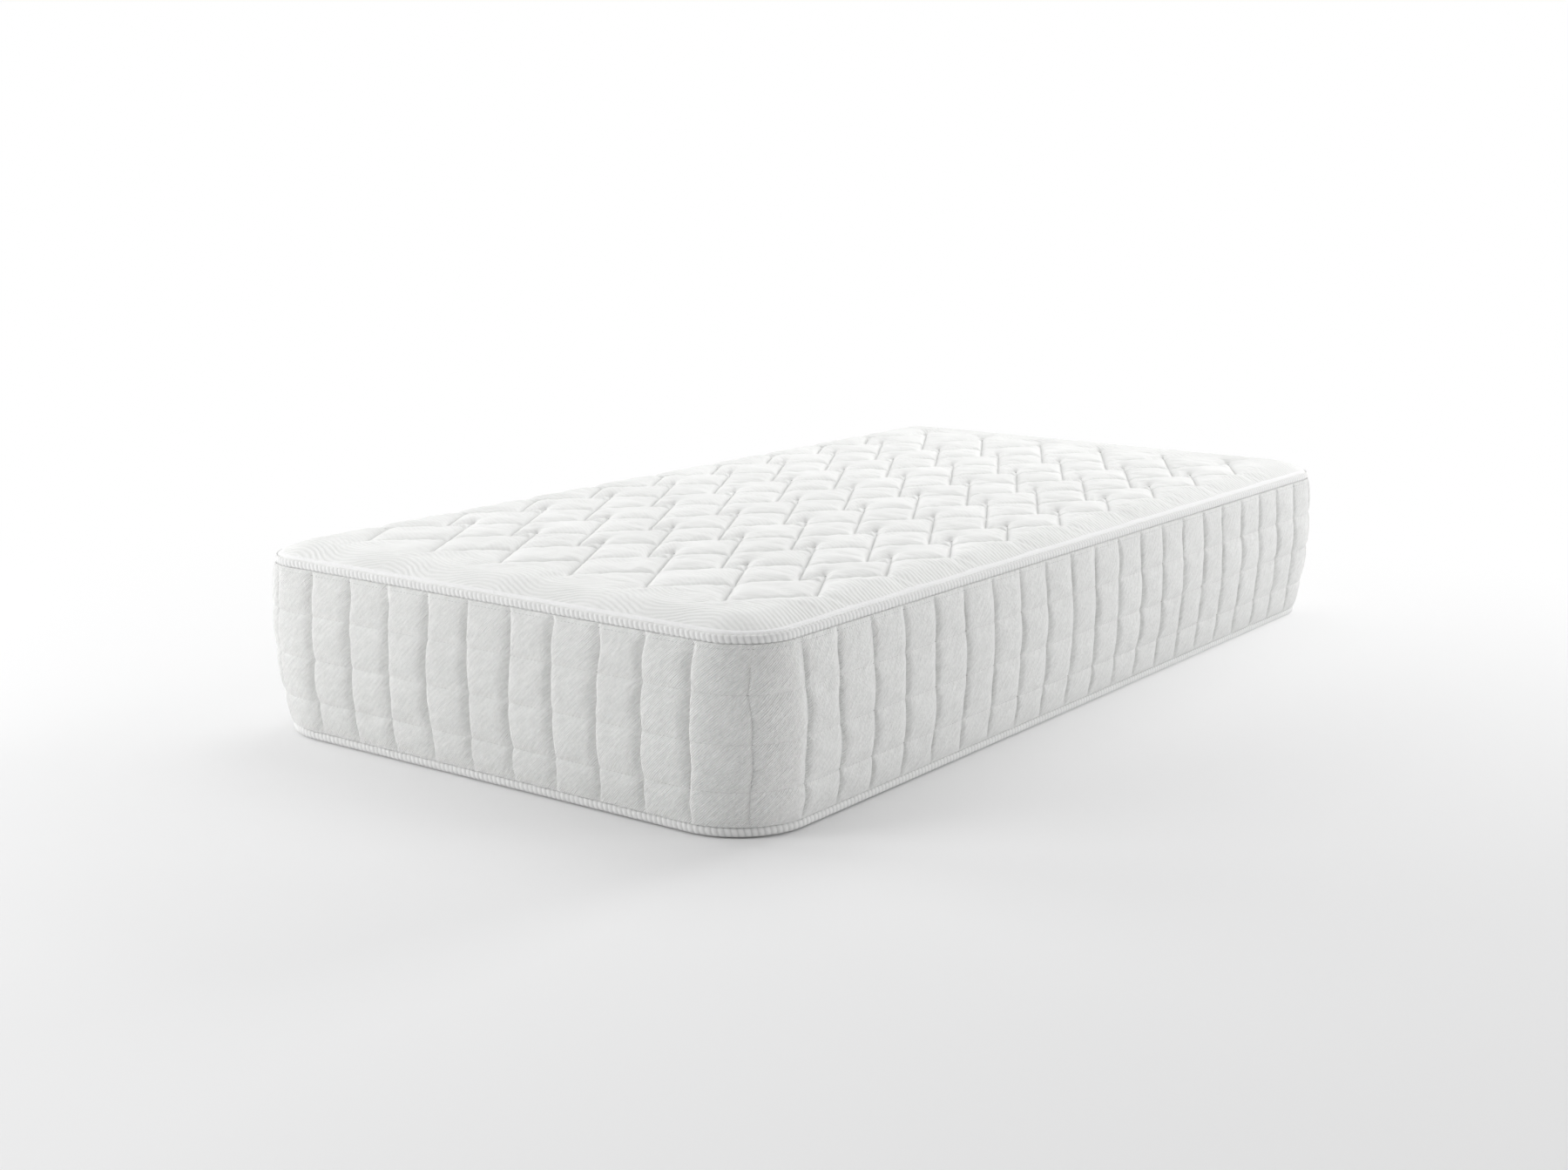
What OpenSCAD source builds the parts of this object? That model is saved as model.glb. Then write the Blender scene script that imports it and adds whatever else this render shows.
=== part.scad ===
// Memory foam mattress: a foam stack in a sewn cover with a quilted top panel,
// a pleated and quilted side band, and a ribbed binding tape round both seams.
// X is the width, Y the length and Z the height, with the origin on the floor
// under the middle. Insets are measured inwards from the top seam, seen from above.

/* [Overall] */
// Width over the fullest part of the side band
mattress_width = 1000; // [800:10:1800]
// Length over the fullest part of the side band
mattress_length = 1900; // [1700:10:2200]
// Height from the floor to the crests of the quilting
mattress_height = 300; // [260:5:360]
// Corner radius of the top seam, seen from above
corner_radius = 86; // [70:1:95]
// Corner radius of the bottom seam, which is drawn in further
bottom_corner_radius = 115; // [100:1:125]

/* [Foam stack] */
// Height of the memory foam slab
memory_foam_height = 50; // [30:5:80]
// Height of the transition foam slab
transition_foam_height = 40; // [20:5:60]
// Corner radius of the foam slabs
foam_corner_radius = 106; // [100:1:125]

/* [Cover cloth] */
// Thickness of the knitted ticking
ticking_thickness = 2; // [1:0.5:3]
// Thickness of the bonded backing cloth
backing_thickness = 1; // [0.5:0.5:2]
// Gap left between a swelling layer and the one it lies on
layer_gap = 0.3; // [0.2:0.1:0.5]

/* [Top panel] */
// Height of the soft foam sheet that is quilted into the top panel
quilt_foam_height = 10; // [6:1:16]
// Height of the wadding sheet over it, in the middle of the panel
top_wadding_height = 8; // [5:1:14]
// Height of that wadding at the panel's edge, where the binding flattens it
wadding_edge_height = 1; // [0.5:0.5:2]
// Distance over which the panel's edge rounds up to its full height
crown_run = 56; // [40:2:60]

/* [Quilting] */
// Number of motifs across the width
quilt_columns = 6; // [4:1:10]
// Number of motifs along the length
quilt_rows = 9; // [6:1:12]
// Plain border between the seam and the motifs on the long sides
side_margin = 63; // [60:1:90]
// Plain border between the seam and the motifs at the two ends
end_margin = 120; // [80:5:160]
// Length of the short straight stitch line at the head of each motif
hook_length = 71; // [50:1:90]
// Width of the hollow that a stitch line draws into the panel
groove_width = 42; // [30:1:46]
// Depth of the hollow at the stitch line
groove_depth = 10; // [6:0.5:12]

/* [Side band] */
// Number of stitch rows that run round the band
stitch_rows = 3; // [2:1:4]
// Distance from one pleat to the next, fitted to a whole number
pleat_pitch = 81.5; // [70:0.5:120]
// Thickness of the wadding behind the ticking, at the seams
band_wadding_thickness = 8; // [6:0.5:12]
// How far the stitch rows swell past the line between the seams
band_swell = 12; // [6:0.5:16]
// How far the band puffs out between two stitch rows
row_puff = 4; // [2:0.5:8]
// How deep the pleats fold in behind the stitch rows
pleat_fold = 6; // [3:0.5:7]

/* [Binding tape] */
// Height of the tape round the top seam
top_tape_height = 14; // [10:1:18]
// Height of the tape round the bottom seam
bottom_tape_height = 16; // [12:1:20]
// Thickness of the folded tape
tape_thickness = 5; // [4:0.5:7]
// How far the bottom seam lies inside the top one
bottom_tuck = 4; // [0:0.5:5]

/* [Bottom panel] */
// Height of the wadding in the bottom panel
bottom_wadding_height = 5; // [3:1:8]

/* [Hidden] */
$fn = 96;
// how far a cutting shape runs past what it cuts
cut_over = 5;
// facets of a full turn where the quilted ticking is one mesh
quilt_facets = 32;
// facets of a stitch line's rounded ends
groove_facets = 8;
// steps in the rounding of the panel's edge, of a tape and of half a corner of the wadding
crown_steps = 5;
tape_steps = 8;
corner_parts = 6;

// levels of the layers, from the floor up
bottom_wadding_z = ticking_thickness;
bottom_backing_z = bottom_wadding_z + bottom_wadding_height;
core_z = bottom_backing_z + backing_thickness;
wadding_top_z = mattress_height - groove_depth - ticking_thickness;
top_wadding_z = wadding_top_z - top_wadding_height;
quilt_foam_z = top_wadding_z - quilt_foam_height;
seam_z = quilt_foam_z - backing_thickness;
memory_foam_z = seam_z - memory_foam_height;
transition_foam_z = memory_foam_z - transition_foam_height;
wadding_edge_z = top_wadding_z + wadding_edge_height;

// the side band: levels of its edges and stitch rows, and the courses between them
stitch_row_z = [for (row = [1:stitch_rows]) seam_z * row / (stitch_rows + 1)];
course_edges = concat([bottom_tape_height], stitch_row_z, [seam_z]);
// a course's lower edge and its two shoulders, as shares of its height
course_shares = [0, 0.25, 0.75];
// a pleat's fold, shoulders and crest, as shares of the pitch
pleat_shares = [0, 0.15, 0.5, 0.85];
// how far each of those places comes out, as a share of the way from the fold to the crest
pleat_fullness = [0, 0.8, 1, 0.8];

// share of the way up the band, from its lower edge to its upper one
function rise_at(z) = (z - bottom_tape_height) / (seam_z - bottom_tape_height);
// reach of the stitch rows past the straight line from seam to seam
function row_reach(z) = 4 * band_swell * rise_at(z) * (1 - rise_at(z));
// how deep a pleat folds in behind that line: nothing at the seams
function fold_at(z) = pleat_fold * sqrt(max(0, sin(180 * rise_at(z))));
// reach of the ticking's inner face
function lining_reach(z) = row_reach(z) - fold_at(z) - ticking_thickness;

// every level of the band's outer face, with its share of the puff
band_levels = [
    for (course = [0:stitch_rows])
        for (share = course_shares)
            [
                course_edges[course] * (1 - share) + course_edges[course + 1] * share,
                share == 0 ? 0 : 1
            ],
    [seam_z, 0]
];
// how far the fullest level comes out past the top seam
band_belly = max([
    for (level = band_levels)
        row_reach(level[0]) + row_puff * level[1] - bottom_tuck * (1 - rise_at(level[0]))
]);

// the top seam, seen from above: its half sizes and the centres of its corners
seam_half_width = mattress_width / 2 - band_belly;
seam_half_length = mattress_length / 2 - band_belly;
corner_x = seam_half_width - corner_radius;
corner_y = seam_half_length - corner_radius;

// insets of the layers behind the seam
band_backing_inset = ticking_thickness + band_wadding_thickness;
foam_inset = band_backing_inset + backing_thickness;
top_panel_inset = tape_thickness;
top_fill_inset = top_panel_inset + ticking_thickness;
bottom_panel_inset = bottom_tuck + tape_thickness;
top_fill_radius = corner_radius - top_fill_inset;
bottom_panel_radius = bottom_corner_radius - tape_thickness;

// plan of a layer: a rounded rectangle set in from the top seam
module plan(inset, radius) {
    half_width = seam_half_width - inset;
    half_length = seam_half_length - inset;
    for (side_x = [-1, 1])
        for (side_y = [-1, 1])
            translate([side_x * (half_width - radius), side_y * (half_length - radius)])
                circle(r = radius);
    square([2 * half_width, 2 * (half_length - radius)], center = true);
    square([2 * (half_width - radius), 2 * half_length], center = true);
}

// flat layer between two levels
module layer(inset, radius, bottom, top) {
    translate([0, 0, bottom]) linear_extrude(top - bottom) plan(inset, radius);
}

// sweeps a section round an outline that is set in from the top seam, with a corner radius
// of its own: the section's x is the distance from a corner's centre
module sweep_round(inset, radius) {
    centre_x = seam_half_width - inset - radius;
    centre_y = seam_half_length - inset - radius;
    for (quarter = [0:3]) {
        across = quarter % 2 == 0 ? centre_x : centre_y;
        along = quarter % 2 == 0 ? centre_y : centre_x;
        rotate(90 * quarter)
            translate([across, along, 0]) {
                rotate_extrude(angle = 90) children();
                rotate([90, 0, 0]) linear_extrude(2 * along) children();
            }
    }
}

// solid with a rounded edge: its full height in the middle, a lower one at its edge
module crowned_layer(inset, bottom, edge_top, top) {
    edge = corner_radius - inset;
    run = crown_run - inset;
    sweep_round(inset, edge)
        polygon(concat(
            [[0, bottom], [edge, bottom]],
            [
                for (step = [0:crown_steps])
                    let (angle = 90 * step / crown_steps)
                    [edge - run * (1 - cos(angle)), edge_top + (top - edge_top) * sin(angle)]
            ],
            [[0, top]]
        ));
    translate([-corner_x, -corner_y, bottom]) cube([2 * corner_x, 2 * corner_y, top - bottom]);
}

// the quilting: motifs on a grid of points. From each point a long leg rises to the left
// and ends in a short hook down to the next point, and a second leg rises to the right.
quilt_cell_x = 2 * (seam_half_width - side_margin) / quilt_columns;
quilt_cell_y = (2 * (seam_half_length - end_margin) - hook_length) / quilt_rows;
left_leg = [-quilt_cell_x, quilt_cell_y + hook_length];
// share of a left leg below its crossing with the right leg of the motif before it
crossing_share = quilt_cell_y / (2 * quilt_cell_y + hook_length);
quilt_origin = [
    quilt_cell_x * (crossing_share - quilt_columns / 2),
    end_margin - seam_half_length
];
function quilt_point(column, row) =
    quilt_origin + [column * quilt_cell_x, row * quilt_cell_y];

// stitch lines as pairs of ends; the outermost legs stop at the crossings
stitch_lines = [
    for (row = [0:quilt_rows - 1])
        for (column = [0:quilt_columns])
            let (
                leftmost = column == 0,
                rightmost = column == quilt_columns,
                point = quilt_point(column, row),
                crossing = point + crossing_share * left_leg,
                head = point + left_leg
            )
            each [
                [rightmost ? crossing : point, leftmost ? crossing : head],
                [
                    leftmost ? crossing : quilt_point(column - 1, row),
                    rightmost ? crossing : quilt_point(column, row + 1)
                ],
                if (!leftmost) [head, quilt_point(column - 1, row + 1)]
            ]
];

// hollow that one stitch line draws into a surface at the given level
module stitch_hollow(ends, level) {
    slope = groove_width / 2 / groove_depth;
    hull()
        for (end = ends)
            translate([end.x, end.y, level - groove_depth])
                cylinder(
                    h = groove_depth + cut_over,
                    r1 = 0,
                    r2 = slope * (groove_depth + cut_over),
                    $fn = groove_facets
                );
}

// The band runs in four quarters, each from the middle of a corner to the middle of the next.
// A place on a seam's outline is [across, along, heading], seen from the quarter's own side,
// for a share of the way along the quarter.
function outline_place(inset, radius, quarter, share) =
    let (
        long_side = quarter % 2 == 0,
        centre_across = (long_side ? seam_half_width : seam_half_length) - inset - radius,
        centre_along = (long_side ? seam_half_length : seam_half_width) - inset - radius,
        run = 2 * centre_along + radius * PI / 2,
        travel = (share - 0.5) * run,
        straight = max(-centre_along, min(centre_along, travel)),
        heading = (travel - straight) / radius * 180 / PI
    )
    [centre_across + radius * cos(heading), straight + radius * sin(heading), heading];

// a point of the band: between the two seams' outlines by its height, and out by its reach.
// On a round stretch, ease is added to the reach.
function band_point(quarter, share, z, reach, ease = 0) =
    let (
        rise = rise_at(z),
        top = outline_place(0, corner_radius, quarter, share),
        bottom = outline_place(bottom_tuck, bottom_corner_radius, quarter, share),
        place = rise * top + (1 - rise) * bottom,
        out = reach + (place.z == 0 ? 0 : ease),
        across = place.x + out * cos(place.z),
        along = place.y + out * sin(place.z),
        turn = 90 * quarter
    )
    [across * cos(turn) - along * sin(turn), across * sin(turn) + along * cos(turn), z];

// the quarters' runs along the top seam, and where each one starts
corner_arc = corner_radius * PI / 2;
long_run = 2 * corner_y + corner_arc;
short_run = 2 * corner_x + corner_arc;
quarter_runs = [long_run, short_run, long_run, short_run];
quarter_starts = [0, long_run, long_run + short_run, 2 * long_run + short_run];
seam_perimeter = 2 * (long_run + short_run);
pleat_count = round(seam_perimeter / pleat_pitch);
// the flats of the ticking's inner face stay outside the true round of the wadding
widest_turn = (pleat_shares[2] - pleat_shares[1]) * seam_perimeter / pleat_count / corner_radius;
lining_ease = corner_radius * (1 / cos(widest_turn * 90 / PI) - 1);

// where the band has its sections: [quarter, share of it, place in the pleat]
band_steps = [
    for (pleat = [0:pleat_count - 1])
        for (place = [0:len(pleat_shares) - 1])
            let (
                step = (pleat + pleat_shares[place]) * seam_perimeter / pleat_count,
                quarter = len([for (start = quarter_starts) if (step >= start) start]) - 1
            )
            [quarter, (step - quarter_starts[quarter]) / quarter_runs[quarter], place]
];

// the band's section at a step: its outer face upwards, then its inner face downwards
function band_section(step) = concat(
    [
        for (level = band_levels)
            let (
                fold = fold_at(level[0]),
                crest = fold + row_puff * level[1],
                reach = row_reach(level[0]) - fold + crest * pleat_fullness[step[2]]
            )
            band_point(step[0], step[1], level[0], reach)
    ],
    [
        for (edge = [stitch_rows + 1:-1:0])
            let (z = course_edges[edge])
            band_point(step[0], step[1], z, lining_reach(z), lining_ease)
    ]
);

module top_ticking() {
    color("#eef0f2")
        difference() {
            crowned_layer(
                top_panel_inset,
                seam_z,
                wadding_edge_z + ticking_thickness,
                mattress_height,
                $fn = quilt_facets
            );
            crowned_layer(
                top_fill_inset - layer_gap,
                seam_z - cut_over,
                wadding_edge_z,
                wadding_top_z,
                $fn = quilt_facets
            );
            for (line = stitch_lines) stitch_hollow(line, mattress_height);
        }
}

module top_wadding() {
    color("#fbfbfb") crowned_layer(top_fill_inset, top_wadding_z, wadding_edge_z, wadding_top_z);
}

module top_quilt_foam() {
    color("#f6f2e6") layer(top_fill_inset, top_fill_radius, quilt_foam_z, top_wadding_z);
}

module top_backing() {
    color("#dfe3e6") layer(top_fill_inset, top_fill_radius, seam_z, quilt_foam_z);
}

// ring of folded tape, rounded outwards
module binding_tape(inset, radius, bottom, height) {
    inner = radius - tape_thickness;
    flat = tape_thickness / 2;
    color("#f5f6f6")
        translate([0, 0, bottom])
            sweep_round(inset, radius)
                polygon(concat(
                    [[inner, height], [inner, 0]],
                    [
                        for (step = [0:tape_steps])
                            let (angle = 180 * step / tape_steps - 90)
                            [inner + flat * (1 + cos(angle)), height / 2 * (1 + sin(angle))]
                    ]
                ));
}

module top_binding_tape() {
    binding_tape(0, corner_radius, seam_z, top_tape_height);
}

module memory_foam() {
    color("#f7edc4") layer(foam_inset, foam_corner_radius, memory_foam_z, seam_z);
}

module transition_foam() {
    color("#dfe9ec") layer(foam_inset, foam_corner_radius, transition_foam_z, memory_foam_z);
}

module support_core() {
    color("#f2efe4") layer(foam_inset, foam_corner_radius, core_z, transition_foam_z);
}

// skin swept round the band: every step joins its section to the next step's
module band_ticking() {
    sections = [for (step = band_steps) band_section(step)];
    columns = len(sections);
    rows = len(sections[0]);
    color("#e9ebed")
        polyhedron(
            points = [for (section = sections) each section],
            faces = [
                for (column = [0:columns - 1])
                    for (row = [0:rows - 1])
                        let (
                            here = column * rows,
                            next = (column + 1) % columns * rows,
                            above = (row + 1) % rows
                        )
                        each [
                            [here + row, here + above, next + row],
                            [next + row, here + above, next + above]
                        ]
            ]
        );
}

// block that fills the band's ticking, stacked from one ring of points for each course edge
module band_filling() {
    steps = [
        for (quarter = [0:3])
            let (round_share = bottom_corner_radius * PI / 4 / quarter_runs[quarter])
            each concat(
                [for (part = [0:corner_parts]) [quarter, round_share * part / corner_parts]],
                [for (part = [corner_parts:-1:1]) [quarter, 1 - round_share * part / corner_parts]]
            )
    ];
    rings = len(course_edges);
    columns = len(steps);
    polyhedron(
        points = [
            for (z = course_edges)
                for (step = steps)
                    band_point(step[0], step[1], z, lining_reach(z) - layer_gap)
        ],
        faces = concat(
            [[for (column = [0:columns - 1]) column]],
            [[for (column = [columns - 1:-1:0]) (rings - 1) * columns + column]],
            [
                for (ring = [0:rings - 2])
                    for (column = [0:columns - 1])
                        let (
                            here = ring * columns + column,
                            next = ring * columns + (column + 1) % columns
                        )
                        each [
                            [here, here + columns, next],
                            [next, here + columns, next + columns]
                        ]
            ]
        )
    );
}

module band_wadding() {
    color("#fbfbfb")
        difference() {
            band_filling();
            translate([0, 0, -cut_over])
                linear_extrude(seam_z + 2 * cut_over)
                    plan(band_backing_inset, foam_corner_radius + backing_thickness);
        }
}

module band_backing() {
    color("#dfe3e6")
        translate([0, 0, core_z])
            linear_extrude(seam_z - core_z)
                difference() {
                    plan(band_backing_inset, foam_corner_radius + backing_thickness);
                    plan(foam_inset, foam_corner_radius);
                }
}

module bottom_binding_tape() {
    binding_tape(bottom_tuck, bottom_corner_radius, 0, bottom_tape_height);
}

module bottom_backing() {
    color("#dfe3e6") layer(bottom_panel_inset, bottom_panel_radius, bottom_backing_z, core_z);
}

module bottom_wadding() {
    color("#fbfbfb")
        layer(bottom_panel_inset, bottom_panel_radius, bottom_wadding_z, bottom_backing_z);
}

module bottom_ticking() {
    color("#e3e6e8") layer(bottom_panel_inset, bottom_panel_radius, 0, bottom_wadding_z);
}

top_ticking();
top_wadding();
top_quilt_foam();
top_backing();
top_binding_tape();
memory_foam();
transition_foam();
support_core();
band_ticking();
band_wadding();
band_backing();
bottom_binding_tape();
bottom_backing();
bottom_wadding();
bottom_ticking();
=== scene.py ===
import math

import bpy
import numpy as np
from mathutils import Euler, Matrix, Vector
from mathutils.bvhtree import BVHTree


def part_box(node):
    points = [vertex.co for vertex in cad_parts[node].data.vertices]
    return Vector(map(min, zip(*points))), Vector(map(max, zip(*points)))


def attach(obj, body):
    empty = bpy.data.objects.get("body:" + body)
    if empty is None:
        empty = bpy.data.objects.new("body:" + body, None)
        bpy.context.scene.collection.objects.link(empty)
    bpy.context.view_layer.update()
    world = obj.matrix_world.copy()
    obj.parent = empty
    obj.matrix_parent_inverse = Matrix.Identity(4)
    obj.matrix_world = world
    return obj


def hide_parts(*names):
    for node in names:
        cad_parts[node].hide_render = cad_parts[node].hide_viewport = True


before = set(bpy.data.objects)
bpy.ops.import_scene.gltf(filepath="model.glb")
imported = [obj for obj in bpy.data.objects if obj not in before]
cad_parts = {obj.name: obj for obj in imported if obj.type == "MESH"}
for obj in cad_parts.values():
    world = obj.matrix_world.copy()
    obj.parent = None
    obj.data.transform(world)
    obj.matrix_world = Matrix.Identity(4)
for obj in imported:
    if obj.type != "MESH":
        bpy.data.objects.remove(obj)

# A quilted mattress: the cover's panels, band, tapes and stitches, in metres.
# The layers inside keep the frame's own shapes.
scene = bpy.context.scene
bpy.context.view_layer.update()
tiny = 1e-9

# where the cover's seams and edges lie, all from the frame
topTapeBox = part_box("top_binding_tape")
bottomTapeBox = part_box("bottom_binding_tape")
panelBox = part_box("top_ticking")

# the lower seam has rounder corners, so the band leans in towards the floor there
topSeam = {"halfX": topTapeBox[1].x, "halfY": topTapeBox[1].y, "radius": 0.086}
bottomSeam = {"halfX": bottomTapeBox[1].x, "halfY": bottomTapeBox[1].y, "radius": 0.115}


def deselectAll():
    if bpy.context.object and bpy.context.object.mode != "OBJECT":
        bpy.ops.object.mode_set(mode="OBJECT")
    bpy.ops.object.select_all(action="DESELECT")


def pick(piece):
    deselectAll()
    piece.select_set(True)
    bpy.context.view_layer.objects.active = piece


def newest(name):
    piece = bpy.context.object
    piece.name = name
    piece.data.name = name
    return piece


def applyModifier(piece, kind, **values):
    pick(piece)
    modifier = piece.modifiers.new(kind.lower(), kind)
    for key, value in values.items():
        setattr(modifier, key, value)
    bpy.ops.object.modifier_apply(modifier=modifier.name)


def applyPlace(piece):
    pick(piece)
    bpy.ops.object.transform_apply(location=True, rotation=True, scale=True)


def openMesh(choice="SELECT"):
    # edits the active piece, with all of it or nothing chosen
    bpy.ops.object.mode_set(mode="EDIT")
    bpy.ops.mesh.select_all(action=choice)


def closeMesh():
    bpy.ops.object.mode_set(mode="OBJECT")


def readPoints(piece):
    points = np.zeros(len(piece.data.vertices) * 3, np.float32)
    piece.data.vertices.foreach_get("co", points)
    return points.reshape(-1, 3).astype(float)


def writePoints(piece, points):
    piece.data.vertices.foreach_set("co", points.astype(np.float32).ravel())
    piece.data.update()


def edgeEnds(piece):
    ends = np.zeros(len(piece.data.edges) * 2, np.int32)
    piece.data.edges.foreach_get("vertices", ends)
    return ends.reshape(-1, 2)


def creaseEdges(piece, sharpness):
    crease = piece.data.attributes.new("crease_edge", "FLOAT", "EDGE")
    crease.data.foreach_set("value", sharpness.astype(np.float32))


def pieceFromPoints(name, points, faces):
    mesh = bpy.data.meshes.new(name)
    mesh.from_pydata([tuple(p) for p in points], [], faces)
    mesh.update()
    piece = bpy.data.objects.new(name, mesh)
    scene.collection.objects.link(piece)
    return piece


def smoothShade(piece):
    pick(piece)
    bpy.ops.object.shade_smooth()


def handOver(piece, nodes=()):
    applyPlace(piece)
    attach(piece, "root")
    if nodes:
        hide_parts(*nodes)


def settleCloth(piece, pins, cloth):
    # lets the fabric puff and pucker between the places that hold it
    group = piece.vertex_groups.new(name="held")
    for weight in np.unique(pins):
        group.add(np.nonzero(pins == weight)[0].tolist(), float(weight), "REPLACE")
    before = readPoints(piece)
    pick(piece)
    modifier = piece.modifiers.new("settle", "CLOTH")
    setup = modifier.settings
    setup.quality = cloth["quality"]
    setup.mass = cloth["mass"]
    setup.tension_stiffness = cloth["tension"]
    setup.compression_stiffness = cloth["compression"]
    setup.shear_stiffness = cloth["shear"]
    setup.bending_stiffness = cloth["bending"]
    setup.tension_damping = setup.compression_damping = cloth["damping"]
    setup.shrink_min = setup.shrink_max = -cloth["slack"]
    setup.use_pressure = True
    setup.uniform_pressure_force = cloth["pressure"]
    setup.effector_weights.gravity = 0
    setup.vertex_group_mass = group.name
    setup.pin_stiffness = cloth["hold"]
    modifier.collision_settings.use_collision = False
    modifier.point_cache.frame_start = 1
    modifier.point_cache.frame_end = cloth["frames"]
    for step in range(1, cloth["frames"] + 1):
        scene.frame_set(step)
    bpy.ops.object.modifier_apply(modifier=modifier.name)
    scene.frame_set(1)
    # no point moves further than the cap
    move = readPoints(piece) - before
    length = np.linalg.norm(move, axis=1, keepdims=True)
    move *= cloth["cap"] * np.tanh(length / cloth["cap"]) / np.maximum(length, tiny)
    writePoints(piece, before + move)
    piece.vertex_groups.clear()
    print("  settled", piece.name, "largest move", round(float(length.max()) * 1000, 1), "mm")


def outlinePlace(seam, quarter, share):
    # quarter 0 runs up the +X side, from the middle of one corner to the middle of the next
    halves = (seam["halfX"], seam["halfY"])
    across, along = halves if quarter % 2 == 0 else halves[::-1]
    across, along = across - seam["radius"], along - seam["radius"]
    travel = (share - 0.5) * (2 * along + seam["radius"] * math.pi / 2)
    straight = max(-along, min(along, travel))
    heading = (travel - straight) / seam["radius"]
    return np.array([
        across + seam["radius"] * math.cos(heading),
        straight + seam["radius"] * math.sin(heading),
        heading,
    ])


cornerArc = topSeam["radius"] * math.pi / 2
longRun = 2 * (topSeam["halfY"] - topSeam["radius"]) + cornerArc
shortRun = 2 * (topSeam["halfX"] - topSeam["radius"]) + cornerArc
quarterRuns = [longRun, shortRun, longRun, shortRun]
quarterStarts = [0, longRun, longRun + shortRun, 2 * longRun + shortRun]
seamLength = 2 * (longRun + shortRun)


def seamShare(distance):
    # which quarter a distance along the top seam lies in, and how far along it
    distance %= seamLength
    quarter = max(q for q in range(4) if distance >= quarterStarts[q] - tiny)
    return quarter, (distance - quarterStarts[quarter]) / quarterRuns[quarter]


def edgeDepth(points, halfX, halfY, radius):
    # distance inwards from a rounded rectangle's edge
    overX = np.abs(points[:, 0]) - (halfX - radius)
    overY = np.abs(points[:, 1]) - (halfY - radius)
    outside = np.hypot(np.maximum(overX, 0), np.maximum(overY, 0))
    return radius - outside - np.minimum(np.maximum(overX, overY), 0)


def flatGrid(name, halfX, halfY, cell):
    deselectAll()
    bpy.ops.mesh.primitive_grid_add(x_subdivisions=round(2 * halfX / cell),
                                    y_subdivisions=round(2 * halfY / cell), size=2)
    piece = newest(name)
    piece.scale = (halfX, halfY, 1)
    applyPlace(piece)
    return piece


def roundCorners(points, halfX, halfY, radius):
    # bends the four corner squares of a flat grid into quarter discs
    overX = (np.abs(points[:, 0]) - (halfX - radius)) / radius
    overY = (np.abs(points[:, 1]) - (halfY - radius)) / radius
    corner = (overX > 0) & (overY > 0)
    roundX = halfX - radius + radius * overX * np.sqrt(1 - np.clip(overY, 0, 1) ** 2 / 2)
    roundY = halfY - radius + radius * overY * np.sqrt(1 - np.clip(overX, 0, 1) ** 2 / 2)
    points[corner, 0] = (np.sign(points[:, 0]) * roundX)[corner]
    points[corner, 1] = (np.sign(points[:, 1]) * roundY)[corner]


topPanel = {
    "cell": 0.006,            # size of the cloth's faces before they are subdivided
    "inset": 0.004,           # edge of the panel inside the seam, under the tape
    "edgeUp": 0.0104,         # height of that edge over the seam
    "skirtUp": 0.0005,        # height of the skirt's hem over the seam
    "crownRun": 0.058,
    "crownPower": 1.6,
    "crest": -0.0012,         # crest against the frame's, before the cloth puffs
    "grooves": ((0.0080, 0.0050), (0.0030, 0.020)),   # depth and reach, sharp part and broad part
    "columns": 6,
    "rows": 9,
    "sideMargin": 0.063,
    "endMargin": 0.120,
    "hook": 0.071,
    "snap": 0.003,            # a stitch line takes grid rows this far past its ends
    "onLine": 0.0006,         # a point this near to a stitch line is sewn down
    "lineCrease": 0.6,
    "borderStart": 0.03,      # past this distance from the quilting the border is held more firmly
    "borderRun": 0.05,
    "borderHold": 0.6,
    "edgeHold": 0.012,        # the cloth is held fast this far in from its edge
    "cloth": {
        "frames": 16, "quality": 4, "mass": 0.3, "pressure": 2.6, "slack": 0.018,
        "tension": 12, "compression": 12, "shear": 4, "bending": 1.2, "damping": 5,
        "hold": 1.0, "softHold": 0.03, "cap": 0.0024,
    },
}


def stitchLines(settings):
    # motifs on a grid of points: a long leg up to the left with a short hook down,
    # and a leg to the right
    columns, hook = settings["columns"], settings["hook"]
    cellX = 2 * (topSeam["halfX"] - settings["sideMargin"]) / columns
    cellY = (2 * (topSeam["halfY"] - settings["endMargin"]) - hook) / settings["rows"]
    leg = np.array([-cellX, cellY + hook])
    cross = cellY / (2 * cellY + hook)
    origin = np.array([cellX * (cross - columns / 2), settings["endMargin"] - topSeam["halfY"]])

    def point(column, row):
        return origin + np.array([column * cellX, row * cellY])

    lines = []
    for row in range(settings["rows"]):
        for column in range(columns + 1):
            first, last = column == 0, column == columns
            foot = point(column, row)
            crossing, head = foot + cross * leg, foot + leg
            lines.append((crossing if last else foot, crossing if first else head))
            lines.append((crossing if first else point(column - 1, row),
                          crossing if last else point(column, row + 1)))
            if not first:
                lines.append((head, point(column - 1, row + 1)))
    return lines


def lineDistance(points, lines):
    nearest = np.full(len(points), np.inf)
    for start, end in lines:
        along = end - start
        offset = points[:, :2] - start
        share = np.clip(offset @ along / (along @ along), 0, 1)
        nearest = np.minimum(nearest, np.hypot(*(offset - share[:, None] * along).T))
    return nearest


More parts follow.
